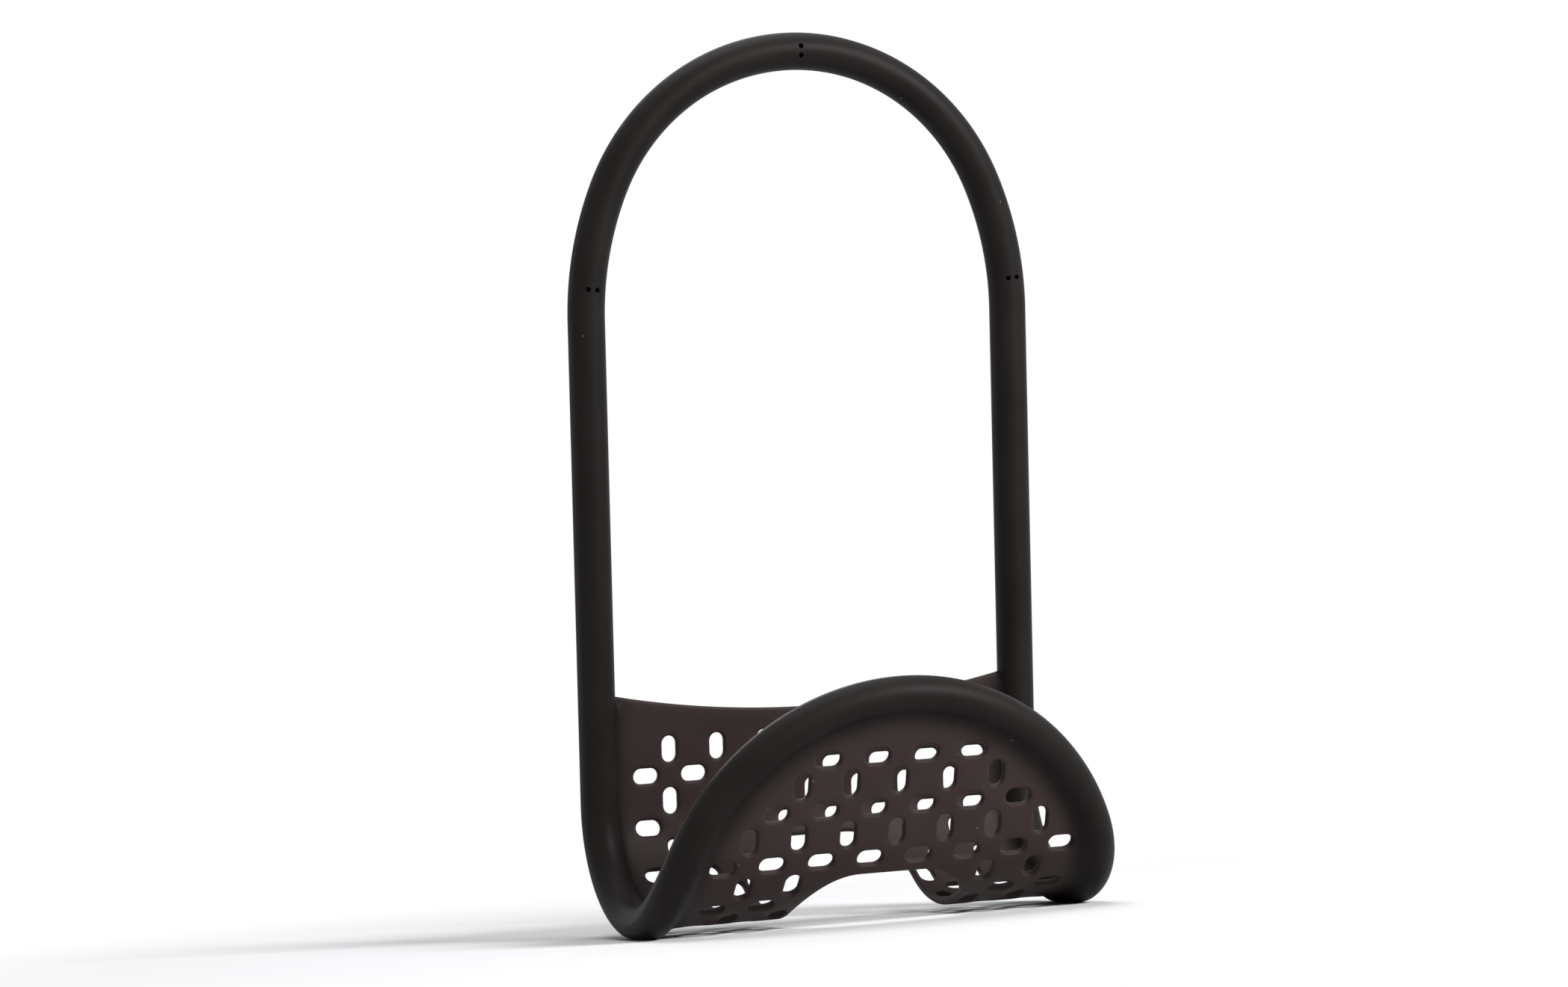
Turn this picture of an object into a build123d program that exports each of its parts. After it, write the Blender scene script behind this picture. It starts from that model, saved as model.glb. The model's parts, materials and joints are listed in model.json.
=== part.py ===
# Sponge holder: a bendable wire loop moulded in soft black rubber. The loop stands up as a tall
# arched handle, turns under in a U and comes up again in front as a leaning half-round rim. A thin
# slotted web of the same rubber fills the U and makes the basket.
#
# Units are millimetres and degrees. +Z is up, the basket's mouth faces up, its low rim is at -Y.
# The origin is at the middle of the overall box, on the surface that the holder stands on. Heights
# are measured up the legs from the level of the turns' centres.
import os
from math import ceil, cos, hypot, pi, radians, sin, sqrt

from build123d import *

os.makedirs("parts", exist_ok=True)

# The loop, measured on the centreline of its tube
tube_dia = 11.2
half_span = 69.0
turn_radius = 31.5
front_lean = 12.5
rim_start = 16.5
leg_rise = 144.5
arch_side_share = 1.45
arch_top_share = 0.96

# How it stands: the whole loop leans forwards on flats under its two turns, so that the tall
# handle's weight is over them
forward_lean = 6.5
stance_flat = 1.2

# The bendable core and the ferrule that joins its two ends
wire_dia = 2.8
ferrule_dia = 4.4
ferrule_length = 12.0
ferrule_lift = 13.5
core_clearance = 0.05

# The web
web_thickness = 2.4
web_outset = 0.7
web_root = 2.8
back_edge_gap = 11.0
back_edge_dip = 8.0
edge_round = 0.8

# The slots: a lattice of level and upright slots that swap from row to row
slot_pitch = 15.4
row_step = 7.8
slot_length = 7.7
slot_width = 4.1
slot_margin = 10.0
first_row_drop = 17.7
back_band = 9.0

# The drain hole under the basket, centred on one of the rows of slots
drain_width = 54.0
drain_length = 67.0
drain_corner = 17.0
drain_margin = 2.0
drain_row_count = 9
drain_cut_share = 0.35

# The three stretches where the legs bend, from above the rim to just under the arch
bend_over_rim = 14.4
bend_length = 10.0
arch_straight = 2.0

# The holes left by the pins that held the wire in the mould
pin_hole_dia = 1.3
pin_hole_depth = 2.0
pin_pair_gap = 2.8
pin_rise = 9.5

overrun = 5.0

# Worked out from the sizes above
tube_radius = tube_dia / 2
wire_radius = wire_dia / 2
bore_radius = wire_radius + core_clearance
web_half = half_span - web_root
lean = radians(front_lean)
tilt = radians(forward_lean)
turn_back = turn_radius * pi / 2
turn_front = turn_radius * (pi / 2 - lean)
rim_rise = rim_start + half_span
front_run = rim_rise - turn_front
front_reach = turn_radius * (1 + cos(lean + tilt)) + front_run * sin(lean + tilt)
turn_y = front_reach / 2 - turn_radius
turn_z = tube_radius - stance_flat + turn_radius
rim_height = front_run * cos(lean) - turn_radius * sin(lean)
first_bend = rim_height + bend_over_rim
last_bend = leg_rise - arch_straight - bend_length / 2
bend_spacing = (last_bend - first_bend) / 2
first_cut = first_bend - bend_length / 2
back_edge_ends = first_cut - back_edge_gap
back_edge_middle = back_edge_ends - back_edge_dip


# A point of the basket's side profile, s along it from the turn's middle, forwards positive, and
# out from the tube's centreline, away from the basket's inside. At the back it runs up the legs.
def profile_point(x, s, out=0.0):
    angle = max(-turn_back, min(s, turn_front)) / turn_radius - tilt
    radius = turn_radius + out
    rise_front = max(s - turn_front, 0)
    rise_back = max(-s - turn_back, 0)
    y = turn_y - radius * sin(angle) - rise_front * sin(lean + tilt) - rise_back * sin(tilt)
    z = turn_z - radius * cos(angle) + rise_front * cos(lean + tilt) + rise_back * cos(tilt)
    return Vector(x, y, z)


# A point of a leg's centreline, on the left or the right, at a height.
def leg_point(x, height):
    return profile_point(x, -turn_back - height)


# The direction in which s grows, and a plane on the web's middle surface at s whose x runs across
# the basket and whose y runs along s.
def profile_along(s):
    angle = max(-turn_back, min(s, turn_front)) / turn_radius - tilt
    return Vector(0, -cos(angle), sin(angle))


def web_plane(s):
    across = Vector(1, 0, 0)
    return Plane(
        origin=profile_point(0, s, web_outset), x_dir=across, z_dir=across.cross(profile_along(s))
    )


# The plane of the legs and the arch, whose y is the height and whose z points forwards, and a
# plane square across the legs at a height.
up_the_legs = -profile_along(-turn_back)
handle_plane = Plane(
    origin=leg_point(0, 0), x_dir=Vector(1, 0, 0), z_dir=Vector(1, 0, 0).cross(up_the_legs)
)


def leg_section(height):
    return Plane(origin=leg_point(0, height), x_dir=Vector(1, 0, 0), z_dir=up_the_legs)


# Half the width of the rim at s, where the flat outline is a circle of the given radius.
def rim_half_width(s, radius=half_span):
    return sqrt(radius**2 - (s - rim_start) ** 2)


# The tube's centreline, from the left leg under the basket, round the rim and up the right leg.
# Between the turn's straight-sided part and the flat front, the round outline wraps on the turn.
def basket_centreline(left_cut, right_cut):
    wrap_shares = (0, 0.25, 0.5, 0.75, 1)
    wrap = [rim_start + (turn_front - rim_start) * share for share in wrap_shares]
    under = (-turn_back, (rim_start - turn_back) / 2, rim_start)
    x_front = rim_half_width(turn_front)
    inward = Vector((turn_front - rim_start) / x_front, 0, 0)
    with BuildLine() as line:
        Line(leg_point(-half_span, left_cut), leg_point(-half_span, 0))
        ThreePointArc(*[profile_point(-half_span, s) for s in under])
        Spline(
            *[profile_point(-rim_half_width(s), s) for s in wrap],
            tangents=[profile_along(rim_start), profile_along(turn_front) + inward],
        )
        ThreePointArc(
            profile_point(-x_front, turn_front),
            profile_point(0, rim_rise),
            profile_point(x_front, turn_front),
        )
        Spline(
            *[profile_point(rim_half_width(s), s) for s in reversed(wrap)],
            tangents=[inward - profile_along(turn_front), -profile_along(rim_start)],
        )
        ThreePointArc(*[profile_point(half_span, s) for s in reversed(under)])
        Line(leg_point(half_span, 0), leg_point(half_span, right_cut))
    return line.line


# The arch's centreline: a wide side arc up from each leg and a tighter arc over the top.
arch_side_radius = half_span * arch_side_share
arch_top_radius = half_span * arch_top_share
side_shift = arch_side_radius - half_span
radius_step = arch_side_radius - arch_top_radius
arch_drop = sqrt(radius_step**2 - side_shift**2)
arch_top = leg_rise + arch_drop + arch_top_radius


# Half the width of the arch's side arc at a height.
def arch_half_width(height):
    return sqrt(arch_side_radius**2 - (height - leg_rise) ** 2) - side_shift


def arch_centreline(cut):
    meeting = leg_rise + arch_side_radius * arch_drop / radius_step
    side = [(arch_half_width(h), h) for h in (leg_rise, (leg_rise + meeting) / 2, meeting)]
    with BuildLine(handle_plane) as line:
        Line((-half_span, cut), (-half_span, leg_rise))
        ThreePointArc(*[(-x, height) for x, height in side])
        ThreePointArc((-side[2][0], meeting), (0, arch_top), (side[2][0], meeting))
        ThreePointArc(*reversed(side))
        Line((half_span, leg_rise), (half_span, cut))
    return line.line


# A plane square across a centreline's start.
def start_plane(line):
    return Plane(origin=line @ 0, z_dir=line % 0)


# The part of the web's thickness between two places of its side profile, as wide as given.
def web_band(s_low, s_high, half_width):
    inner = web_outset - web_thickness / 2
    outer = web_outset + web_thickness / 2
    arc_low = max(s_low, -turn_back)
    arc_high = min(s_high, turn_front)

    def at(s, out):
        point = profile_point(0, s, out)
        return (point.Y, point.Z)

    with BuildPart() as band:
        with BuildSketch(Plane.YZ):
            with BuildLine():
                for out in (inner, outer):
                    ThreePointArc(*[at(s, out) for s in (arc_low, (arc_low + arc_high) / 2, arc_high)])
                    if s_low < arc_low:
                        Line(at(s_low, out), at(arc_low, out))
                Line(at(s_low, inner), at(s_low, outer))
                Line(at(s_high, inner), at(s_high, outer))
            make_face()
        extrude(amount=half_width, both=True)
    return band.part


# The web: the back wall and the turn at full width, the turn where the rim's round outline wraps
# on it, and the flat leaning front.
back_end = -turn_back - back_edge_ends - overrun
wrap_middle = (rim_start + turn_front) / 2
wrap_half = (turn_radius + web_outset + web_thickness) * sin((turn_front - rim_start) / 2 / turn_radius)

with BuildPart() as web_wrap:
    add(web_band(rim_start, turn_front, web_half))
    with BuildSketch(web_plane(wrap_middle)):
        with BuildLine():
            low = rim_half_width(rim_start, web_half)
            middle = rim_half_width(wrap_middle, web_half)
            high = rim_half_width(turn_front, web_half)
            Line((-low, -wrap_half), (low, -wrap_half))
            ThreePointArc((low, -wrap_half), (middle, 0), (high, wrap_half))
            Line((high, wrap_half), (-high, wrap_half))
            ThreePointArc((-high, wrap_half), (-middle, 0), (-low, -wrap_half))
        make_face()
    extrude(amount=turn_radius / 2, both=True, mode=Mode.INTERSECT)

with BuildPart() as web:
    add(web_band(back_end, rim_start, web_half))
    add(web_wrap.part)
    with BuildSketch(web_plane(turn_front)):
        with Locations((0, rim_start - turn_front)):
            Circle(web_half)
        with Locations((0, -web_half)):
            Rectangle(4 * web_half, 2 * web_half, mode=Mode.SUBTRACT)
    extrude(amount=web_thickness / 2, both=True)

    # The back wall's top edge dips between the legs.
    with BuildSketch(handle_plane):
        with BuildLine():
            ThreePointArc((-half_span, back_edge_ends), (0, back_edge_middle), (half_span, back_edge_ends))
            Polyline(
                (half_span, back_edge_ends),
                (half_span, 2 * back_edge_ends),
                (-half_span, 2 * back_edge_ends),
                (-half_span, back_edge_ends),
            )
        make_face()
    extrude(amount=turn_radius / 2, both=True, mode=Mode.SUBTRACT)
    fillet(edges(Select.LAST).filter_by(GeomType.CIRCLE), edge_round)

    # The drain hole, cut square to the turn in two halves that overlap at its middle.
    first_row = rim_rise - first_row_drop
    drain_s = first_row - drain_row_count * row_step
    for end in (1, -1):
        cut_s = drain_s + end * drain_cut_share * drain_length
        reach = turn_radius * sin((1 / 2 - drain_cut_share) * drain_length / turn_radius)
        back = turn_radius * sin(drain_cut_share * drain_length / turn_radius) + 2 * web_thickness
        with BuildSketch(web_plane(cut_s)) as drain_half:
            with Locations((0, end * (reach - back) / 2)):
                Rectangle(drain_width, reach + back)
            far = drain_half.vertices().sort_by(Axis.Y if end > 0 else -Axis.Y)[-2:]
            fillet(far, drain_corner)
        extrude(amount=turn_radius / 2, both=True, mode=Mode.SUBTRACT)
    drain_side = drain_width / 2 + drain_margin
    fillet(edges().filter_by(lambda edge: abs(edge.bounding_box().max.X) < drain_side), edge_round)

    # The slots, one row at a time up the front and down again to the back wall's bare band.
    last_row = -turn_back - back_edge_middle + back_band
    row_count = int((first_row - last_row) / row_step) + 1
    for row in range(row_count):
        row_s = first_row - row * row_step
        level = row % 2 == 0
        shift = slot_pitch / 2 if level else 0
        most = ceil(half_span / slot_pitch)
        places = []
        for column in range(-most, most + 1):
            x = column * slot_pitch + shift
            rim_gap = half_span - hypot(x, max(row_s - rim_start, 0))
            in_drain = (
                abs(x) < drain_side
                and abs(row_s - drain_s) < drain_length / 2 + drain_margin
            )
            if rim_gap > slot_margin and not in_drain:
                places.append((x, 0))
        with BuildSketch(web_plane(row_s)):
            with Locations(*places):
                SlotOverall(slot_length, slot_width, rotation=0 if level else 90)
        extrude(amount=web_thickness, both=True, mode=Mode.SUBTRACT)

# The basket's moulding: the rubber tube over the wire, and the web that grows out of it.
basket_line = basket_centreline(first_cut, first_cut)
with BuildPart() as basket:
    with BuildSketch(start_plane(basket_line)):
        Circle(tube_radius)
        Circle(bore_radius, mode=Mode.SUBTRACT)
    sweep(path=basket_line)
    add(web.part)
    with BuildSketch(leg_section(ferrule_lift - ferrule_length / 2)):
        with Locations((-half_span, 0)):
            Circle(ferrule_dia / 2 + core_clearance)
    extrude(amount=ferrule_length, mode=Mode.SUBTRACT)
    split(bisect_by=Plane.XY, keep=Keep.TOP)
basket.part.label = "basket_moulding"
export_step(basket.part, "parts/basket_moulding.step")

# The wire through the basket's tube. Its two ends butt inside a crimped ferrule in the left leg.
wire_line = basket_centreline(ferrule_lift, first_cut)
with BuildPart() as basket_wire:
    with BuildSketch(start_plane(wire_line)):
        Circle(wire_radius)
    sweep(path=wire_line)
basket_wire.part.label = "basket_wire"
export_step(basket_wire.part, "parts/basket_wire.step")

with BuildPart() as wire_tail:
    with BuildSketch(leg_section(ferrule_lift)):
        with Locations((-half_span, 0)):
            Circle(wire_radius)
    extrude(amount=first_cut - ferrule_lift)
wire_tail.part.label = "wire_tail"
export_step(wire_tail.part, "parts/wire_tail.step")

with BuildPart() as ferrule:
    with BuildSketch(leg_section(ferrule_lift - ferrule_length / 2)):
        with Locations((-half_span, 0)):
            Circle(ferrule_dia / 2)
            Circle(bore_radius, mode=Mode.SUBTRACT)
    extrude(amount=ferrule_length)
ferrule.part.label = "wire_ferrule"
export_step(ferrule.part, "parts/wire_ferrule.step")


# A straight stretch of the legs: its rubber sleeve and its wire, at the given legs.
def leg_stretch(name, bottom, length, sides):
    with BuildPart() as sleeve:
        with BuildSketch(leg_section(bottom)):
            with Locations(*[(side * half_span, 0) for side in sides]):
                Circle(tube_radius)
                Circle(bore_radius, mode=Mode.SUBTRACT)
        extrude(amount=length)
    with BuildPart() as wire:
        with BuildSketch(leg_section(bottom)):
            with Locations(*[(side * half_span, 0) for side in sides]):
                Circle(wire_radius)
        extrude(amount=length)
    for piece, kind in ((sleeve, "sleeve"), (wire, "wire")):
        piece.part.label = f"{name}_{kind}"
        export_step(piece.part, f"parts/{name}_{kind}.step")


# The legs, from the basket to the arch: three stretches that bend and two between them.
for step, name in enumerate(("lower_bend", "middle_bend", "upper_bend")):
    leg_stretch(name, first_cut + step * bend_spacing, bend_length, (-1, 1))
for step, name in enumerate(("lower_leg", "upper_leg")):
    bottom = first_cut + bend_length + step * bend_spacing
    leg_stretch(f"left_{name}", bottom, bend_spacing - bend_length, (-1,))
    leg_stretch(f"right_{name}", bottom, bend_spacing - bend_length, (1,))

# The arch that a hand or a tap goes through, with the mould's pin holes in its front.
arch_line = arch_centreline(first_cut + 2 * bend_spacing + bend_length)
with BuildPart() as arch:
    with BuildSketch(start_plane(arch_line)):
        Circle(tube_radius)
        Circle(bore_radius, mode=Mode.SUBTRACT)
    sweep(path=arch_line)
    pin_height = leg_rise + pin_rise
    pin_x = arch_half_width(pin_height)
    half_gap = pin_pair_gap / 2
    pins = [(0, arch_top - half_gap), (0, arch_top + half_gap)]
    pins += [(side * pin_x + offset, pin_height) for side in (-1, 1) for offset in (-half_gap, half_gap)]
    with BuildSketch(handle_plane.offset(tube_radius - pin_hole_depth)):
        with Locations(*pins):
            Circle(pin_hole_dia / 2)
    extrude(amount=pin_hole_depth + overrun, mode=Mode.SUBTRACT)
arch.part.label = "arch_sleeve"
export_step(arch.part, "parts/arch_sleeve.step")

with BuildPart() as arch_wire:
    with BuildSketch(start_plane(arch_line)):
        Circle(wire_radius)
    sweep(path=arch_line)
arch_wire.part.label = "arch_wire"
export_step(arch_wire.part, "parts/arch_wire.step")
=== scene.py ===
# A sponge holder: one closed loop of bendable wire under soft black rubber. The loop stands up as an
# arched handle, turns under in a U and comes up in front as a round rim, and a thin slotted web of
# the same rubber fills the U. Lengths are in metres, in the frame of the solid model.
import json

import bmesh
import bpy
import numpy as np
from mathutils import Matrix, Vector
from mathutils.geometry import delaunay_2d_cdt


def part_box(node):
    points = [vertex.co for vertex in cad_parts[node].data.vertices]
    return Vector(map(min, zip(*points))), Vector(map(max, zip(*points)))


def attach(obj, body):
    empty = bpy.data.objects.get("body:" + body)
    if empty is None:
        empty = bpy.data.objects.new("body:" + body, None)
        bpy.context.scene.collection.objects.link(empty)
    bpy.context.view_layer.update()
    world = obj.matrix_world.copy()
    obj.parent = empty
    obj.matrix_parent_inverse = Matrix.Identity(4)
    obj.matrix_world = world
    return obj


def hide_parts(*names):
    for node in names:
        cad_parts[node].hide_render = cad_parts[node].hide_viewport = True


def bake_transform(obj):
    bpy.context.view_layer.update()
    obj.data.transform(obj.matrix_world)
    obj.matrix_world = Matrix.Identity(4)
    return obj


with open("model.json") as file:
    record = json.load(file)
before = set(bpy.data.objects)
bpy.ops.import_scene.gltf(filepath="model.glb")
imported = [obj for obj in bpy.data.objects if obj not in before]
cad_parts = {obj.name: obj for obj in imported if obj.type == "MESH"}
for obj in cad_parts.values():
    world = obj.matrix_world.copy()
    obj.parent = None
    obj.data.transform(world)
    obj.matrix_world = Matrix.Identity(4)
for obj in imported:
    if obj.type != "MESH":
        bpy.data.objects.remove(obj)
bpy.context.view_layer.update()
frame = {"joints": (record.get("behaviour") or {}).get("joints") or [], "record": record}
mm = 0.001

# The camera: a long lens about 1.36 m away, 22 degrees to the left of straight on, 3.4 degrees above
# level and rolled by 1.4 degrees, all as seen by the holder, so it is tipped forwards with the
# loop. It aims at the middle of the picture, inside the loop.
photo_width_px = 2099
focal_length_px = 5983
sensor_width_mm = 36
azimuth, elevation, roll, tilt = np.radians([22.07, 3.37, 1.40, 6.5])
camera_distance = 1355.6 * mm
nearest_seen, farthest_seen = 0.05, 50.0
lower_bend, middle_bend, upper_bend = [np.array(joint["pos_m"]) for joint in frame["joints"]]
up_the_legs = np.array([0, -np.sin(tilt), np.cos(tilt)])
aim_above_bend = 41.1 * mm
aim_left = 6.9 * mm
aim = lower_bend + aim_above_bend * up_the_legs - np.array([aim_left, 0, 0])

tip = np.array([[1, 0, 0], [0, np.cos(tilt), -np.sin(tilt)], [0, np.sin(tilt), np.cos(tilt)]])
forward = tip @ [np.sin(azimuth) * np.cos(elevation), np.cos(azimuth) * np.cos(elevation), -np.sin(elevation)]
level_right = tip @ [np.cos(azimuth), -np.sin(azimuth), 0]
level_up = np.cross(level_right, forward)
picture_right = level_right * np.cos(roll) - level_up * np.sin(roll)
picture_up = level_right * np.sin(roll) + level_up * np.cos(roll)
stand = np.eye(4)
stand[:3, :3] = np.stack([picture_right, picture_up, -forward], axis=1)
stand[:3, 3] = aim - forward * camera_distance
camera = bpy.data.objects.new("camera", bpy.data.cameras.new("camera"))
camera.data.sensor_width = sensor_width_mm
camera.data.lens = focal_length_px / photo_width_px * sensor_width_mm
camera.data.clip_start, camera.data.clip_end = nearest_seen, farthest_seen
camera.matrix_world = Matrix(stand.tolist())
bpy.context.scene.collection.objects.link(camera)
bpy.context.scene.camera = camera

# The floor and the light: a wide white sweep in a plain white room. A soft box stands on the right of
# the camera, above its line, a larger one hangs overhead, and weak ones fill the left and the back.
bpy.context.scene.view_settings.view_transform = "Standard"


def linear(hex_colour):
    """The linear red, green, blue and alpha of an sRGB hex colour, by the sRGB curve."""
    share = np.array([int(hex_colour[i:i + 2], 16) for i in (0, 2, 4)]) / 255
    curve = np.where(share <= 0.04045, share / 12.92, ((share + 0.055) / 1.055) ** 2.4)
    return (*curve.tolist(), 1.0)


def add_node(tree, kind, inputs=None, **settings):
    """Adds a node, sets its properties, and fills each named input with a value or links it to a socket."""
    node = tree.nodes.new(kind)
    for name, value in settings.items():
        setattr(node, name, value)
    for name, value in (inputs or {}).items():
        if isinstance(value, bpy.types.NodeSocket):
            tree.links.new(value, node.inputs[name])
        else:
            node.inputs[name].default_value = value
    return node


def new_material(name):
    """An empty node material and its tree."""
    material = bpy.data.materials.new(name)
    material.use_nodes = True
    material.node_tree.nodes.clear()
    return material, material.node_tree


def looked_at(tree):
    """1 for what is seen straight, mirrored or through glass, and 0 for the light that things give each other."""
    seen = add_node(tree, "ShaderNodeLightPath").outputs
    seen_in = add_node(
        tree, "ShaderNodeMath", {0: seen["Is Glossy Ray"], 1: seen["Is Transmission Ray"]}, operation="ADD"
    )
    both = add_node(tree, "ShaderNodeMath", {0: seen["Is Camera Ray"], 1: seen_in.outputs[0]}, operation="ADD")
    return both.outputs[0]


# Matt white paper sweep. Near the holder it takes the holder's soft shadow. Further out it burns out
# to plain white in the picture, as paper under studio light does.
floor_colour = linear("f0f0f2")
shadow_reach = 0.16
white_from = 0.36
sweep_half = 12.0
paper, tree = new_material("matt_white_paper_sweep")
near = add_node(tree, "ShaderNodeBsdfDiffuse", {"Color": floor_colour})
white = add_node(tree, "ShaderNodeEmission", {"Color": (1, 1, 1, 1), "Strength": 1.0})
spot = add_node(tree, "ShaderNodeTexCoord").outputs["Object"]
away = add_node(tree, "ShaderNodeVectorMath", {0: spot}, operation="LENGTH")
fade = add_node(
    tree, "ShaderNodeMapRange",
    {"Value": away.outputs["Value"], "From Min": shadow_reach, "From Max": white_from},
    interpolation_type="SMOOTHSTEP",
)
share = add_node(tree, "ShaderNodeMath", {0: looked_at(tree), 1: fade.outputs[0]}, operation="MULTIPLY")
both = add_node(tree, "ShaderNodeMixShader", {0: share.outputs[0], 1: near.outputs[0], 2: white.outputs[0]})
add_node(tree, "ShaderNodeOutputMaterial", {"Surface": both.outputs[0]})
floor_mesh = bpy.data.meshes.new("floor")
floor_corners = [(-1, -1), (1, -1), (1, 1), (-1, 1)]
floor_mesh.from_pydata([(x * sweep_half, y * sweep_half, 0) for x, y in floor_corners], [], [(0, 1, 2, 3)])
floor_mesh.materials.append(paper)
floor = bpy.data.objects.new("floor", floor_mesh)
bpy.context.scene.collection.objects.link(floor)

# The room is dim for the light it gives, and white where it is seen.
room_level = 0.06
world = bpy.data.worlds.new("pale_room")
bpy.context.scene.world = world
world.use_nodes = True
world.node_tree.nodes.clear()
level = add_node(world.node_tree, "ShaderNodeMapRange", {"Value": looked_at(world.node_tree), "To Min": room_level})
sky = add_node(world.node_tree, "ShaderNodeBackground", {"Color": (1, 1, 1, 1), "Strength": level.outputs[0]})
add_node(world.node_tree, "ShaderNodeOutputWorld", {"Surface": sky.outputs[0]})

# Each box's place is its distance from the handle to the right, up and towards the camera.
for name, place, size, power in (
    ("box_right", (1.08, 0.75, 0.72), 0.5, 27.0),
    ("box_overhead", (-0.1, 1.3, -0.1), 0.9, 10.0),
    ("box_left", (-1.0, 0.5, 0.9), 0.7, 1.5),
    ("box_behind", (-0.4, 0.7, -1.25), 0.8, 5.0),
):
    lamp = bpy.data.lights.new(name, "AREA")
    lamp.shape, lamp.size, lamp.energy = "SQUARE", size, power
    lamp_object = bpy.data.objects.new(name, lamp)
    towards = Vector((place[0] * picture_right + place[1] * picture_up - place[2] * forward).tolist())
    lamp_object.location = Vector(aim.tolist()) + towards
    lamp_object.rotation_euler = towards.to_track_quat("Z", "Y").to_euler()
    bpy.context.scene.collection.objects.link(lamp_object)

# The basket's moulding: the rubber of the rim, the two turns and the feet of the legs, and the thin
# slotted web that grows out of it. It is one shot of thermoplastic elastomer over the wire, matt
# from a blasted mould, so its edges are soft and the web runs into the tube in a hollow curve.
leg_low, leg_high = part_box("left_lower_leg_sleeve")
tube_radius = (leg_high.x - leg_low.x) / 2
half_span = -(leg_high.x + leg_low.x) / 2
turn_radius = 31.5 * mm
stance_flat = 1.2 * mm
press_round = 0.9 * mm
turn_y = frame["record"]["mounts"][0]["pos_m"][1]
turn_z = tube_radius - stance_flat + turn_radius
lean = np.radians(12.5)
rim_start = 16.5 * mm
turn_back = turn_radius * np.pi / 2
turn_front = turn_radius * (np.pi / 2 - lean)
rim_rise = rim_start + half_span


def turn_angle(s):
    """The angle about the turns' axis of a place on the profile, 0 straight down and forwards positive."""
    return np.clip(s, -turn_back, turn_front) / turn_radius - tilt


def on_profile(x, s, out):
    """A point of the basket by its side profile: a straight back, a turn and a leaning front. s runs
    along it from the middle of the turn, forwards positive, and out is the distance outwards from
    it. On the turn the point lies at turn_radius + out from the axis, at turn_angle(s), and past
    the turn's ends the profile goes straight on up the legs or up the front. The whole profile
    leans forwards by tilt."""
    x, s, out = np.broadcast_arrays(x, s, out)
    angle = turn_angle(s)
    front = np.maximum(s - turn_front, 0)
    back = np.maximum(-s - turn_back, 0)
    y = turn_y - (turn_radius + out) * np.sin(angle) - front * np.sin(lean + tilt) - back * np.sin(tilt)
    z = turn_z - (turn_radius + out) * np.cos(angle) + front * np.cos(lean + tilt) + back * np.cos(tilt)
    return np.stack([x, y, z], axis=-1)


# Heights up the legs are measured from where the turns end. The loop bends at three of them, and
# bend_reach on both sides of a bend marks the stretch round it.
legs_foot = on_profile(0, -turn_back, 0)
bends = [float((bend - legs_foot) @ up_the_legs) for bend in (lower_bend, middle_bend, upper_bend)]
bend_reach = 14 * mm
basket_top = bends[0] - bend_reach

web_half = 1.2 * mm
web_outset = 0.7 * mm
edge_round = 0.8 * mm
outer_fillet = 8.0 * mm
inner_fillet = 5.0 * mm
root_fade = 5.0 * mm
least_fillet = 0.02
wrap_start = 4.5 * mm
web_start = 6.6 * mm
back_edge_drop = 24.0 * mm
back_edge_middle = bends[0] - back_edge_drop
back_edge_rise = 8.0 * mm
skin_step = 1.25 * mm
fill_step = 2.2 * mm

# Lengths under same_place count as none, and points closer than merge_distance become one.
same_place = 0.001 * mm
merge_distance = 0.004 * mm
same_direction = 1e-9
sharp_angle = np.radians(60)


def smooth(share):
    """The smooth step 3 t^2 - 2 t^3, with t held between 0 and 1."""
    t = np.clip(share, 0, 1)
    return t * t * (3 - 2 * t)


def back_edge(x):
    """Height up the legs of the back wall's top edge: a circle through its middle and its higher ends."""
    circle = (half_span**2 + back_edge_rise**2) / (2 * back_edge_rise)
    return back_edge_middle + circle - np.sqrt(circle**2 - x**2)


def half_wall(depth):
    """Half the web's thickness at a depth from an edge: a quarter round of edge_round, then flat."""
    inside = edge_round - np.clip(depth, 0, edge_round)
    return web_half - edge_round + np.sqrt(edge_round**2 - inside**2)


def fillet_share(below_top):
    """The share of their full size that the fillets have at a depth below the back wall's top edge."""
    return np.maximum(smooth(below_top / root_fade), least_fillet)


def root_centre(flat, fillet):
    """Distance from the tube's centreline of the fillet circle that touches the tube and the flat."""
    return np.sqrt((tube_radius + fillet) ** 2 - (flat + fillet) ** 2)


def root_height(e, flat, fillet):
    """Height of the web's skin at a distance e from the tube's centreline: the flat of the web, and
    nearer than the fillet circle's centre the hollow arc that climbs onto the tube."""
    reach = np.clip(root_centre(flat, fillet) - e, 0, fillet)
    return flat + fillet - np.sqrt(fillet**2 - reach**2)


def rim_path(step, top):
    """The tube's centreline on the unrolled profile, from the left leg's top, round the rim and up
    the right leg: x and s, and the direction towards the web. It is two straight lines and a half
    circle about (0, rim_start), in steps of the given length. top holds the first places on a leg."""
    count = int((rim_start - top[-1]) / step)
    leg = np.concatenate([top[:-1], np.linspace(top[-1], rim_start, count, endpoint=False)])
    turn = np.linspace(np.pi, 0, int(np.pi * half_span / step))
    x = np.concatenate([np.full(leg.size, -half_span), half_span * np.cos(turn), np.full(leg.size, half_span)])
    s = np.concatenate([leg, rim_start + half_span * np.sin(turn), leg[::-1]])
    in_x = np.concatenate([np.ones(leg.size), -np.cos(turn), -np.ones(leg.size)])
    in_s = np.concatenate([np.zeros(leg.size), -np.sin(turn), np.zeros(leg.size)])
    return x, s, in_x, in_s


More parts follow.
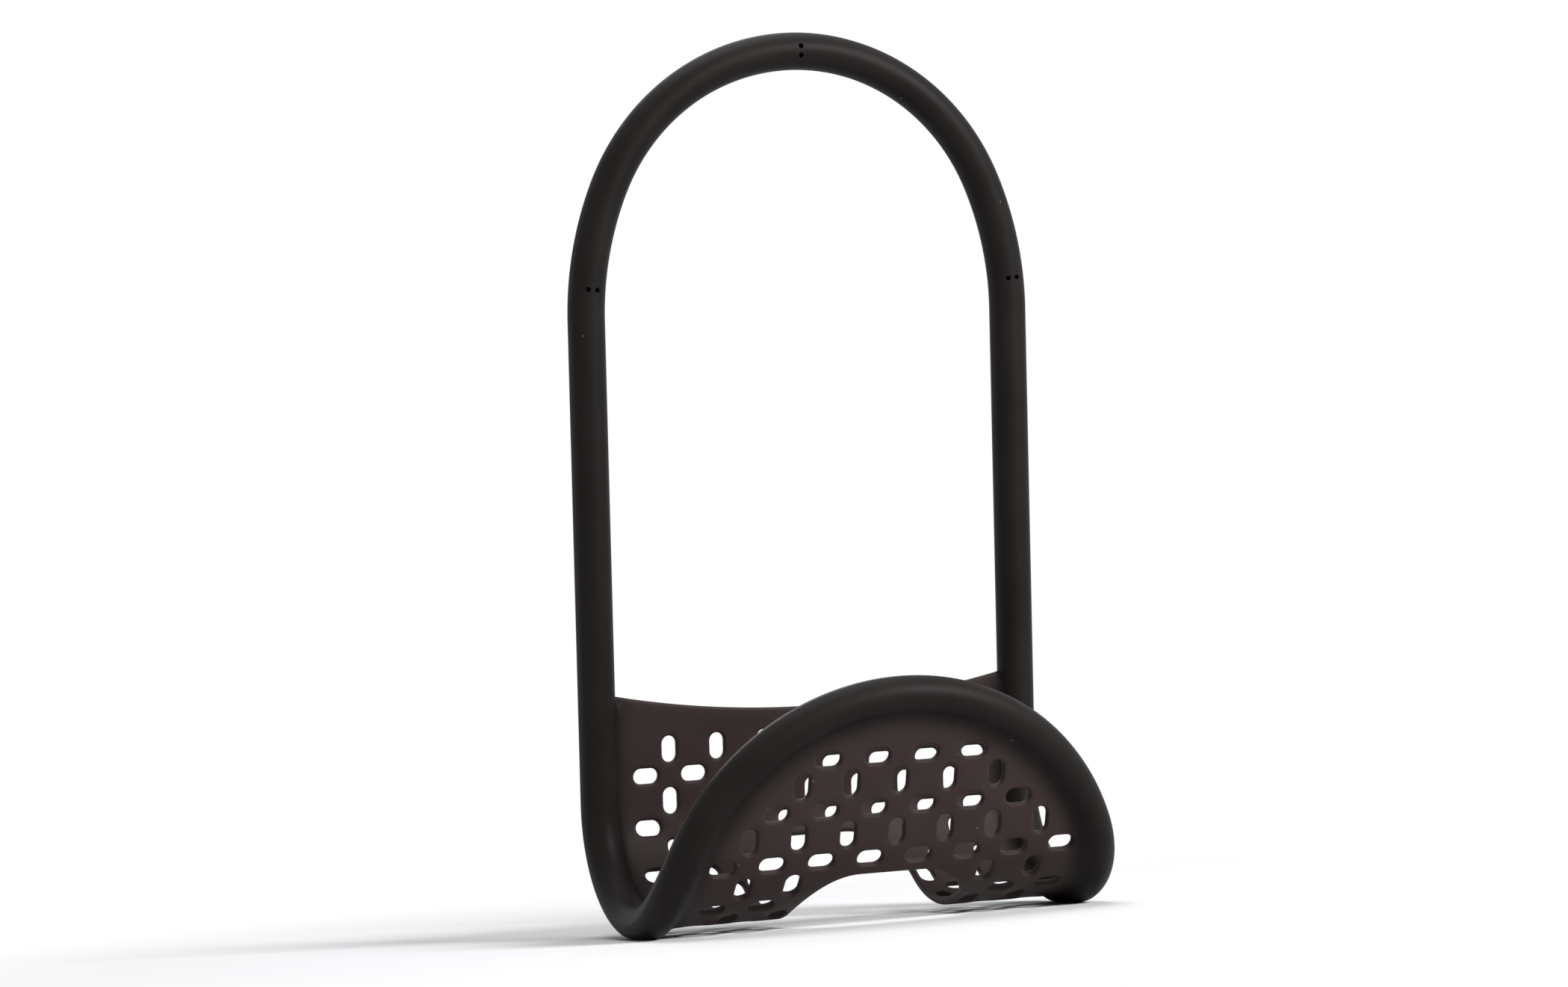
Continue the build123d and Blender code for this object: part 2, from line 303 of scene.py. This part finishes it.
def round_tube(x, s, in_x, in_s, e, out):
    """Points round the tube: from the centreline e towards the web and out away from the basket's
    inside, in the flat plane across the tube."""
    angle = turn_angle(s)
    along = np.stack([np.zeros_like(angle), -np.cos(angle), np.sin(angle)], axis=-1)
    outwards = np.stack([np.zeros_like(angle), -np.sin(angle), -np.cos(angle)], axis=-1)
    inwards = in_x[:, None] * np.array([1, 0, 0]) + in_s[:, None] * along
    centre = on_profile(x, s, 0)
    return centre[:, None, :] + e[..., None] * inwards[:, None, :] + out[..., None] * outwards[:, None, :]


def grid_quads(rows, columns):
    """The quads of a grid of vertices that are numbered row by row."""
    corner = np.arange(rows - 1)[:, None] * columns + np.arange(columns - 1)
    return np.stack([corner, corner + 1, corner + columns + 1, corner + columns], axis=-1).reshape(-1, 4)


def make_piece(name, parts, material):
    """One object from (points, faces) parts. Points that meet are merged, faces are turned outwards,
    edges sharper than 60 degrees stay sharp and the rest are shaded smooth."""
    joined = bmesh.new()
    for points, faces in parts:
        mesh = bpy.data.meshes.new(name)
        mesh.from_pydata(points.reshape(-1, 3).tolist(), [], [list(face) for face in faces])
        joined.from_mesh(mesh)
        bpy.data.meshes.remove(mesh)
    bmesh.ops.remove_doubles(joined, verts=joined.verts, dist=merge_distance)
    bmesh.ops.recalc_face_normals(joined, faces=joined.faces)
    mesh = bpy.data.meshes.new(name)
    joined.to_mesh(mesh)
    joined.free()
    mesh.shade_smooth()
    mesh.set_sharp_from_angle(angle=sharp_angle)
    mesh.materials.append(material)
    piece = bpy.data.objects.new(name, mesh)
    bpy.context.scene.collection.objects.link(piece)
    return piece


def pressed_flat(z):
    """Height of the rubber's skin where it stands on a floor at 0. Soft rubber spreads to a foot with a
    round edge: (z + sqrt(z^2 + press_round^2)) / 2, brought down to 0 at the middle of the foot."""
    eased = (z + np.sqrt(z**2 + press_round**2)) / 2
    lowest = (-stance_flat + np.sqrt(stance_flat**2 + press_round**2)) / 2
    return np.maximum(eased - lowest * np.exp(-(z + stance_flat) / press_round), 0)


# Sections round the tube, from the web's outer side round the back of the tube to its inner side.
# A fine parting line, where the mould's halves met, stands proud along the tube's outer perimeter.
root_columns = 9
closed_root_spread = np.radians(3)
arc_columns = 27
seam_height = 0.07 * mm
seam_half_angle = 2.2
seam_angles = np.radians(180 + seam_half_angle * np.array([-1.8, -1.0, -0.5, 0.0, 0.5, 1.0, 1.8]))


def seam_lift(angle, middle):
    """Height of the parting line over the tube: a parabola over seam_half_angle each side."""
    away = np.degrees(np.abs(angle - middle)) / seam_half_angle
    return seam_height * np.clip(1 - away**2, 0, 1)


def root_side(half, fillet, closed, side):
    """The skin of one side of the web's root, from web_start to where it touches the tube, as
    distances, heights and the angle of the touch. Where closed, it lies on the tube instead."""
    flat = side * web_outset + half
    touch = root_centre(flat, fillet) * tube_radius / (tube_radius + fillet)
    share = np.linspace(0, 1, root_columns)
    e = web_start + (touch[:, None] - web_start) * share
    height = root_height(e, flat[:, None], fillet[:, None])
    height[:, -1] = np.sqrt(tube_radius**2 - touch**2) * np.sign(flat + fillet)
    mouth = np.arcsin(flat / tube_radius)
    angle = mouth[:, None] + closed_root_spread * share
    e = np.where(closed[:, None], tube_radius * np.cos(angle), e)
    height = np.where(closed[:, None], tube_radius * np.sin(angle), height)
    return e, height, np.arctan2(height[:, -1], e[:, -1])


# The rings begin on a leg above the web, where the section is closed all round. At the web's top edge
# they follow the rounding of that edge, and below it they go on with steps that grow to skin_step.
leg_rings = 4
leg_gap = 0.3 * mm
first_steps = np.array([0.8, 1.8, 3.0]) * mm
top_s = -turn_back - back_edge(half_span - web_start)
closed_top = np.linspace(-turn_back - basket_top, top_s - leg_gap, leg_rings)
round_angles = np.radians([0, 22.5, 45, 67.5, 90])
edge_depths = edge_round * (1 - np.cos(round_angles))
open_top = top_s + np.concatenate([edge_depths, edge_round + first_steps])
path_x, path_s, path_in_x, path_in_s = rim_path(skin_step, np.concatenate([closed_top, open_top]))
on_leg = np.abs(path_in_s) < same_direction
depth = np.where(on_leg, path_s - top_s, np.inf)
closed = depth < -leg_gap / 2
half = half_wall(np.where(closed, 0, depth))
fade = fillet_share(depth)

outer_e, outer_out, outer_touch = root_side(half, outer_fillet * fade, closed, 1)
inner_e, inner_out, inner_touch = root_side(half, inner_fillet * fade, closed, -1)
to_seam = np.linspace(0, 1, arc_columns)[1:-1]
before = outer_touch[:, None] + (seam_angles[0] - outer_touch[:, None]) * to_seam
after = seam_angles[-1] + (2 * np.pi - inner_touch[:, None] - seam_angles[-1]) * to_seam
around = np.concatenate([before, np.broadcast_to(seam_angles, (half.size, seam_angles.size)), after], axis=1)
radius = tube_radius + seam_lift(around, np.pi)
e = np.concatenate([outer_e, radius * np.cos(around), inner_e[:, ::-1]], axis=1)
out = np.concatenate([outer_out, radius * np.sin(around), -inner_out[:, ::-1]], axis=1)
straight = round_tube(path_x, path_s, path_in_x, path_in_s, e, out)
wrapped = on_profile(path_x[:, None] + e * path_in_x[:, None], path_s[:, None] + e * path_in_s[:, None], out)
# The tube's sections are flat, and the web follows the profile. Between wrap_start and web_start the
# one passes over into the other, and the pressed foot fades out, so that tube and web meet.
follow = smooth((e - wrap_start) / (web_start - wrap_start))[..., None]
band = straight + (wrapped - straight) * follow
band[..., 2] += (pressed_flat(band[..., 2]) - band[..., 2]) * (1 - follow[..., 0])

rings, columns = e.shape
band_faces = grid_quads(rings, columns).tolist()
shut = [k for k in range(rings - 1) if closed[k] or closed[k + 1]]
band_faces += [(k * columns, (k + 1) * columns, (k + 2) * columns - 1, (k + 1) * columns - 1) for k in shut]
band_faces += [range(columns), range((rings - 1) * columns, rings * columns)]

# The slots: a lattice of level and upright slots that swap from row to row, which makes a drain
# that looks woven. One big rounded hole is left under the basket for the water. The rounded edges of
# two holes must not cross, or the web between them doesn't close.
slot_pitch = 15.4 * mm
row_step = 7.8 * mm
slot_length = 8.0 * mm
slot_width = 4.7 * mm
slot_margin = 10.0 * mm
rim_to_first_row = 17.7 * mm
back_edge_to_last_row = 9.0 * mm
first_row = rim_rise - rim_to_first_row
last_row = -turn_back - back_edge_middle + back_edge_to_last_row
drain_width = 53.4 * mm
drain_length = 67.0 * mm
drain_corner = 17.0 * mm
drain_margin = 2.0 * mm
drain_corner_steps, drain_side_steps = 16, 14
slot_corner_steps, slot_side_steps = 5, 4
drain_row_count = 9
drain_s = first_row - drain_row_count * row_step
slots = []
for row in range(int((first_row - last_row) / row_step) + 1):
    row_s = first_row - row * row_step
    level = row % 2 == 0
    most = int(half_span / slot_pitch) + 1
    for column in range(-most, most + 1):
        slot_x = column * slot_pitch + (slot_pitch / 2 if level else 0)
        rim_gap = half_span - np.hypot(slot_x, max(row_s - rim_start, 0))
        in_drain = (
            abs(slot_x) < drain_width / 2 + drain_margin
            and abs(row_s - drain_s) < drain_length / 2 + drain_margin
        )
        if rim_gap > slot_margin and not in_drain:
            slots.append((slot_x, row_s, level))


def rounded_loop(half_x, half_s, corner, corner_steps, side_steps):
    """The outline of a rounded rectangle about the origin, as the centres of its corner circles for
    each point and the directions away from them, so that corner + depth sets any parallel outline."""
    centres, directions = [], []
    for quarter in range(4):
        sign_x = (1, -1, -1, 1)[quarter]
        sign_s = (1, 1, -1, -1)[quarter]
        turn = np.pi / 2 * (quarter + np.linspace(0, 1, corner_steps + 1))
        here = np.array([sign_x * (half_x - corner), sign_s * (half_s - corner)])
        flip = (-1, 1) if quarter % 2 == 0 else (1, -1)
        there = here * np.array(flip)
        centres.append(np.repeat(here[None], turn.size, axis=0))
        directions.append(np.stack([np.cos(turn), np.sin(turn)], axis=1))
        gap = np.linspace(0, 1, side_steps + 1)[1:-1, None]
        if np.abs(here - there).sum() > same_place:
            centres.append(here + (there - here) * gap)
            directions.append(np.repeat(directions[-1][-1:], gap.size, axis=0))
    centres, directions = np.concatenate(centres), np.concatenate(directions)
    apart = np.abs(np.roll(centres, 1, axis=0) - centres) + np.abs(np.roll(directions, 1, axis=0) - directions)
    keep = apart.sum(axis=1) > same_direction
    return centres[keep], directions[keep]


def web_skin(x, s, depth, side):
    """The web's skin on one side: the flat plus the rounding at the nearest edge, plus what the
    hollow curve onto the tube adds close to the rim."""
    to_rim = half_span - np.hypot(x, np.maximum(s - rim_start, 0))
    below_top = s + turn_back + back_edge(x)
    flat = side * web_outset + web_half
    fillet = (outer_fillet if side > 0 else inner_fillet) * fillet_share(below_top)
    swell = root_height(np.maximum(to_rim, web_start), flat, fillet) - flat
    return on_profile(x, s, side * (side * web_outset + half_wall(depth) + swell))


def edge_rows(outlines):
    """The rounded edge along an outline: rows of quads from the flat of one side, over the edge and
    onto the flat of the other. outlines holds x and s of each row, from the edge inwards."""
    rows = [web_skin(x, s, d, 1) for (x, s), d in zip(outlines[::-1], edge_depths[::-1])]
    rows += [web_skin(x, s, d, -1) for (x, s), d in zip(outlines, edge_depths)]
    return np.stack(rows)


web_parts = [(band, band_faces)]
loops = []
drain_steps, slot_steps = (drain_corner_steps, drain_side_steps), (slot_corner_steps, slot_side_steps)
for hole_x, hole_s, half_x, half_s, corner, steps in [
    (0, drain_s, drain_width / 2, drain_length / 2, drain_corner, drain_steps),
    *[
        (x, s, slot_length / 2, slot_width / 2, slot_width / 2, slot_steps) if level
        else (x, s, slot_width / 2, slot_length / 2, slot_width / 2, slot_steps)
        for x, s, level in slots
    ],
]:
    centres, directions = rounded_loop(half_x, half_s, corner, *steps)
    centres = centres + np.array([hole_x, hole_s])
    outlines = [(centres + (corner + d) * directions).T for d in edge_depths]
    rows = edge_rows(outlines)
    rows = np.concatenate([rows, rows[:, :1]], axis=1)
    web_parts.append((rows, grid_quads(*rows.shape[:2])))
    loops.append((outlines[-1].T, (hole_x, hole_s, half_x, half_s, corner)))

# The back wall's top edge, and the flat of the web between the edges: a fine net of points, joined
# into triangles that stop at the outlines of the holes, laid on both sides of the web.
back_edge_points = 85
edge_x = np.linspace(-(half_span - web_start), half_span - web_start, back_edge_points)
outlines = [(edge_x, d - turn_back - back_edge(edge_x)) for d in edge_depths]
rows = edge_rows(outlines)
web_parts.append((rows, grid_quads(*rows.shape[:2])))

flat_rings = depth > edge_round - same_place
border_x = (path_x + web_start * path_in_x)[flat_rings]
border_s = (path_s + web_start * path_in_s)[flat_rings]
border = np.stack([border_x, border_s], axis=1)
top_row = np.stack(outlines[-1], axis=1)[1:-1][::-1]
net_loops = [np.concatenate([border, top_row])] + [loop for loop, _ in loops]


def hole_distance(points, hole):
    """Distance from a rounded rectangle's outline, negative inside it."""
    hole_x, hole_s, half_x, half_s, corner = hole
    away = np.abs(points - np.array([hole_x, hole_s])) - np.array([half_x - corner, half_s - corner])
    outside = np.hypot(*np.maximum(away, 0).T)
    return outside + np.minimum(away.max(axis=1), 0) - corner


def clear_of_holes(points, gap):
    """True where a point of the web lies further than gap outside all the rounded edges of its holes."""
    return np.min([hole_distance(points, hole) for _, hole in loops], axis=0) - edge_round > gap


def clear_of_edges(points, gap):
    """True where a point of the web lies further than gap inside all the edges of its flat part."""
    x, s = points.T
    inside_rim = half_span - np.hypot(x, np.maximum(s - rim_start, 0)) - web_start > gap
    below_top = s + turn_back + back_edge(x) - edge_round > gap
    return inside_rim & below_top & clear_of_holes(points, gap)


fill_x, fill_s = np.meshgrid(
    np.arange(-half_span, half_span, fill_step), np.arange(top_s, rim_rise, fill_step), indexing="ij"
)
fill_s = fill_s + np.where(np.arange(fill_x.shape[0]) % 2 == 0, 0, fill_step / 2)[:, None]
fill = np.stack([fill_x.ravel(), fill_s.ravel()], axis=1)
fill = fill[clear_of_edges(fill, fill_step / 3)]
points = np.concatenate([*net_loops, fill])
ends = np.cumsum([0] + [len(loop) for loop in net_loops])
borders = [
    (int(a + k), int(a + (k + 1) % (b - a))) for a, b in zip(ends[:-1], ends[1:]) for k in range(b - a)
]
# Output type 1 keeps what lies inside the borders. That fills the holes too, so the triangles in them
# are taken out again.
within_borders = 1
net_tolerance_mm = 1e-5
net = delaunay_2d_cdt(
    [Vector(p) for p in (points / mm).tolist()], borders, [], within_borders, net_tolerance_mm
)
net_points = np.array([tuple(p) for p in net[0]]) * mm
net_faces = np.array(net[2])
net_faces = net_faces[clear_of_holes(net_points[net_faces].mean(axis=1), 0)]
for side in (1, -1):
    web_parts.append((web_skin(*net_points.T, np.inf, side), net_faces.tolist()))

# Moulded matt black thermoplastic elastomer. The tube is near black with a slight bloom, and the
# thin web is a warmer, browner black. A blasted mould gives the fine grain, and lint clings to such
# rubber, which shows as a few pale specks. The grain is drawn coarser than the real one, so that it
# shows.
bloom_size = 18 * mm
lint_spacing = 9 * mm
grain_size = 0.5 * mm
grain_height = 0.02 * mm
rubber, tree = new_material("moulded_matt_black_elastomer")
surface = add_node(tree, "ShaderNodeTexCoord").outputs["Object"]
thin = add_node(tree, "ShaderNodeAttribute", attribute_name="thin_wall").outputs["Fac"]
cloud = add_node(tree, "ShaderNodeTexNoise", {"Vector": surface, "Scale": 1 / bloom_size, "Detail": 4.0})
colour = add_node(
    tree, "ShaderNodeMix", {"Factor": thin, "A": linear("13100e"), "B": linear("2f2524")}, data_type="RGBA"
)
bloom = add_node(
    tree, "ShaderNodeMapRange", {"Value": cloud.outputs["Fac"], "From Min": 0.35, "From Max": 0.7, "To Max": 0.06}
)
bloomed = add_node(
    tree, "ShaderNodeMix",
    {"Factor": bloom.outputs[0], "A": colour.outputs["Result"], "B": linear("4a4644")}, data_type="RGBA",
)
lint_cells = add_node(tree, "ShaderNodeTexVoronoi", {"Vector": surface, "Scale": 1 / lint_spacing})
lint = add_node(
    tree, "ShaderNodeMapRange",
    {"Value": lint_cells.outputs["Distance"], "From Min": 0.035, "From Max": 0.015, "To Max": 0.45},
)
finished = add_node(
    tree, "ShaderNodeMix",
    {"Factor": lint.outputs[0], "A": bloomed.outputs["Result"], "B": linear("8d8782")}, data_type="RGBA",
)
roughness = add_node(
    tree, "ShaderNodeMapRange", {"Value": cloud.outputs["Fac"], "To Min": 0.46, "To Max": 0.58}
)
grain = add_node(tree, "ShaderNodeTexNoise", {"Vector": surface, "Scale": 1 / grain_size, "Detail": 2.0})
bump = add_node(
    tree, "ShaderNodeBump", {"Height": grain.outputs["Fac"], "Strength": 0.35, "Distance": grain_height}
)
skin = add_node(
    tree, "ShaderNodeBsdfPrincipled",
    {"Base Color": finished.outputs["Result"], "Roughness": roughness.outputs[0], "IOR": 1.5,
     "Specular IOR Level": 0.1, "Normal": bump.outputs[0]},
)
add_node(tree, "ShaderNodeOutputMaterial", {"Surface": skin.outputs[0]})

thin_from = 5.0 * mm
thin_over = 7.0 * mm
basket = make_piece("basket_rubber", web_parts, rubber)
spots = np.zeros(len(basket.data.vertices) * 3)
basket.data.vertices.foreach_get("co", spots)
spots = spots.reshape(-1, 3) - on_profile(0, 0, -turn_radius)
# The wall grows thin with the distance from the rim's centreline. The place along the profile is read
# back from each point: the angle about the turns' axis, or past a turn's end the straight way on.
angle = np.arctan2(-spots[:, 1], -spots[:, 2])
up_the_front = np.array([0, -np.sin(lean + tilt), np.cos(lean + tilt)])
place = np.where(angle < turn_angle(-turn_back), -turn_back - spots @ up_the_legs, (angle + tilt) * turn_radius)
place = np.where(angle > turn_angle(turn_front), turn_front + spots @ up_the_front, place)
from_rim = half_span - np.hypot(spots[:, 0], np.maximum(place - rim_start, 0))
thin_wall = basket.data.attributes.new("thin_wall", "FLOAT", "POINT")
thin_wall.data.foreach_set("value", smooth((from_rim - thin_from) / thin_over))
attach(basket, "basket")
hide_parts("basket_moulding")

# The handle: the legs above the basket and the arch, one run of the same rubber tube. The loop is
# bent by hand across both legs at three heights.
leg_rise = 144.5 * mm
side_share, top_share = 1.45, 0.96
side_radius = half_span * side_share
top_radius = half_span * top_share
side_shift = side_radius - half_span
radius_step = side_radius - top_radius
arch_drop = np.sqrt(radius_step**2 - side_shift**2)
side_turn = np.arctan2(arch_drop, side_shift)
top_length = top_radius * (np.pi / 2 - side_turn)
side_length = side_radius * side_turn


def arch_line(distance):
    """The arch's centreline at a distance from its top, right positive: a tight arc over the top, a
    wider arc on each side and the straight leg. Gives x, the height and the outward direction."""
    away = np.abs(distance)
    over_top = np.pi / 2 - away / top_radius
    on_side = side_turn - (away - top_length) / side_radius
    angle = np.where(away < top_length, over_top, np.maximum(on_side, 0))
    side_x = side_radius * np.cos(angle) - side_shift
    side_rise = leg_rise + side_radius * np.sin(angle) - np.maximum(away - top_length - side_length, 0)
    x = np.where(away < top_length, top_radius * np.cos(angle), side_x)
    rise = np.where(away < top_length, leg_rise + arch_drop + top_radius * np.sin(angle), side_rise)
    sign = np.where(distance < 0, -1, 1)
    return sign * x, rise, sign * np.cos(angle), np.sin(angle)


def handle_tube(line, around, radius, dents=0):
    """A tube about a line in the handle's plane, given as x, height and outward direction. A point at
    the angle around lies radius * cos(around) outwards and radius * sin(around) to the front, less
    its dent."""
    x, rise, out_x, out_rise = (part[:, None] for part in line)
    aside = radius * np.cos(around)
    return on_profile(x + aside * out_x, -turn_back - rise - aside * out_rise, dents - radius * np.sin(around))


def capped_tube(points):
    """The points of a tube with its faces: the grid closed round, and a flat cap on each end."""
    points = np.concatenate([points, points[:, :1]], axis=1)
    rings, columns = points.shape[:2]
    faces = grid_quads(rings, columns).tolist()
    faces += [range(columns - 1), range((rings - 1) * columns, rings * columns - 1)]
    return points, faces


pin_radius = 0.65 * mm
pin_depth = 2.0 * mm
pin_gap = 1.4 * mm
pin_rise = 9.5 * mm
pin_edge = 0.2 * mm
fine_step = 0.11 * mm
fine_reach = 0.95 * mm
fine_gap = 0.2 * mm
fine_clear = 0.03
seam_clear = np.radians(5)
column_turn_deg = 6.0
turns = np.radians(np.arange(0, 360, column_turn_deg))
seams = np.concatenate([seam_angles, (seam_angles + np.pi) % (2 * np.pi)])
fine = np.pi / 2 + np.arcsin(np.arange(-pin_gap - fine_reach, pin_gap + fine_reach, fine_step) / tube_radius)
near_fine = (turns > fine[0] - fine_clear) & (turns < fine[-1] + fine_clear)
near_seam = np.abs(np.sin(turns)) < np.sin(seam_clear)
around = np.sort(np.concatenate([turns[~near_fine & ~near_seam], seams, fine]))
leg_around = np.sort(np.concatenate([turns[~near_seam], seams]))


def with_seams(around):
    """The tube's radius at each angle, with the parting line along its inner and outer sides."""
    return tube_radius + sum(seam_lift(around, middle) for middle in (0, np.pi, 2 * np.pi))


def bend_with(piece, bend, nodes):
    """Bakes a piece's place into its mesh and hides the nodes that it stands in for. The ends of its
    stretch at the bend are worked out but not used.
    """
    start, end = (on_profile(0, -turn_back - bends[bend] - way * bend_reach, 0).tolist() for way in (-1, 1))
    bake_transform(piece)
    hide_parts(*nodes)


def leg_pair(name, low, high, around, radius, step, material):
    """Both legs' tubes between two heights, or the wires in them."""
    rise = np.linspace(low, high, int((high - low) / step))
    same = np.ones_like(rise)
    lines = [(side * half_span * same, rise, side * same, 0 * same) for side in (-1, 1)]
    return make_piece(name, [capped_tube(handle_tube(line, around, radius)) for line in lines], material)


leg_step = 1.5 * mm
arch_step = 1.6 * mm
lower_split = (bends[0] + bends[1]) / 2
upper_split = (bends[1] + bends[2]) / 2
for name, low, high, bend, bodies, nodes in (
    ("lower_leg_rubber", basket_top, lower_split, 0, ("basket", "lower_legs"), ["lower_bend_sleeve"]),
    ("upper_leg_rubber", lower_split, upper_split, 1, ("lower_legs", "upper_legs"),
     ["left_lower_leg_sleeve", "right_lower_leg_sleeve", "middle_bend_sleeve"]),
):
    legs = leg_pair(name, low, high, leg_around, with_seams(leg_around), leg_step, rubber)
    bend_with(legs, bend, nodes)

# The arch, with the small round holes that the mould's pins left in its front: a pair at the top
# and a pair at each shoulder. The pins held the wire in the middle of the tube.
half_length = top_length + side_length + leg_rise - upper_split
pin_turn = np.arcsin(pin_rise / side_radius)
pin_place = top_length + (side_turn - pin_turn) * side_radius
run = np.linspace(-half_length, half_length, int(2 * half_length / arch_step))
pin_places = (-pin_place, 0, pin_place)
for middle in pin_places:
    run = run[np.abs(run - middle) > fine_reach + fine_gap]
    run = np.concatenate([run, middle + np.arange(-fine_reach, fine_reach, fine_step)])
run = np.sort(run)
line = arch_line(run)
radius = with_seams(around)
to_front = np.sin(around) > 0
dents = np.zeros((run.size, around.size))
for middle in pin_places:
    x, rise, out_x, out_rise = arch_line(np.array([middle]))
    for offset in (-pin_gap, pin_gap):
        away = np.hypot(
            line[0][:, None] + radius * np.cos(around) * line[2][:, None] - x - offset * out_x,
            line[1][:, None] + radius * np.cos(around) * line[3][:, None] - rise - offset * out_rise,
        )
        dents += np.where(to_front, pin_depth * smooth((pin_radius + pin_edge / 2 - away) / pin_edge), 0)
arch = make_piece("arch_rubber", [capped_tube(handle_tube(line, around, radius, dents))], rubber)
bend_with(
    arch, 2,
    ["left_upper_leg_sleeve", "right_upper_leg_sleeve", "upper_bend_sleeve", "arch_sleeve"],
)

# The core: a soft annealed steel wire all round the loop, which keeps the shape that a hand gives
# it, and the aluminium ferrule that joins its ends. Both are hidden in the rubber. Annealing leaves
# the steel a dull grey, and the ferrule shows the bright bands of its crimping.
wire_radius = 1.4 * mm
bend_half = 5 * mm
wire_step = 1.0 * mm
wire_column_turn_deg = 15.0
scale_film_size = 3 * mm
band_pitch = 6 * mm
band_height = 0.1 * mm
annealed, tree = new_material("annealed_steel_wire")
surface = add_node(tree, "ShaderNodeTexCoord").outputs["Object"]
scale_film = add_node(tree, "ShaderNodeTexNoise", {"Vector": surface, "Scale": 1 / scale_film_size, "Detail": 5.0})
tint = add_node(
    tree, "ShaderNodeMix", {"Factor": scale_film.outputs["Fac"], "A": linear("8a8987"), "B": linear("a9a8a6")},
    data_type="RGBA",
)
dull = add_node(tree, "ShaderNodeMapRange", {"Value": scale_film.outputs["Fac"], "To Min": 0.38, "To Max": 0.55})
steel = add_node(
    tree, "ShaderNodeBsdfPrincipled",
    {"Base Color": tint.outputs["Result"], "Metallic": 1.0, "Roughness": dull.outputs[0]},
)
add_node(tree, "ShaderNodeOutputMaterial", {"Surface": steel.outputs[0]})

crimped, tree = new_material("crimped_aluminium_ferrule")
surface = add_node(tree, "ShaderNodeTexCoord").outputs["Object"]
bands = add_node(
    tree, "ShaderNodeTexWave", {"Vector": surface, "Scale": 1 / band_pitch}, bands_direction="Z", wave_profile="SIN"
)
band_bump = add_node(
    tree, "ShaderNodeBump", {"Height": bands.outputs["Fac"], "Strength": 0.5, "Distance": band_height}
)
wear = add_node(tree, "ShaderNodeMapRange", {"Value": bands.outputs["Fac"], "To Min": 0.42, "To Max": 0.3})
aluminium = add_node(
    tree, "ShaderNodeBsdfPrincipled",
    {"Base Color": linear("c9cacc"), "Metallic": 1.0, "Roughness": wear.outputs[0], "Normal": band_bump.outputs[0]},
)
add_node(tree, "ShaderNodeOutputMaterial", {"Surface": aluminium.outputs[0]})

wire_around = np.radians(np.arange(0, 360, wire_column_turn_deg))
core = np.full(wire_around.size, wire_radius)
for bend, name, bodies in (
    (0, "lower_bend", ("basket", "lower_legs")),
    (1, "middle_bend", ("lower_legs", "upper_legs")),
    (2, "upper_bend", ("upper_legs", "arch")),
):
    wires = leg_pair(
        f"{name}_core", bends[bend] - bend_half, bends[bend] + bend_half, wire_around, core, wire_step,
        annealed,
    )
    bend_with(wires, bend, [f"{name}_wire"])
for node, material in (
    *[(name, annealed) for name in (
        "basket_wire", "wire_tail", "left_lower_leg_wire", "right_lower_leg_wire",
        "left_upper_leg_wire", "right_upper_leg_wire", "arch_wire",
    )],
    ("wire_ferrule", crimped),
):
    bpy.data.objects[node].material_slots[0].material = material
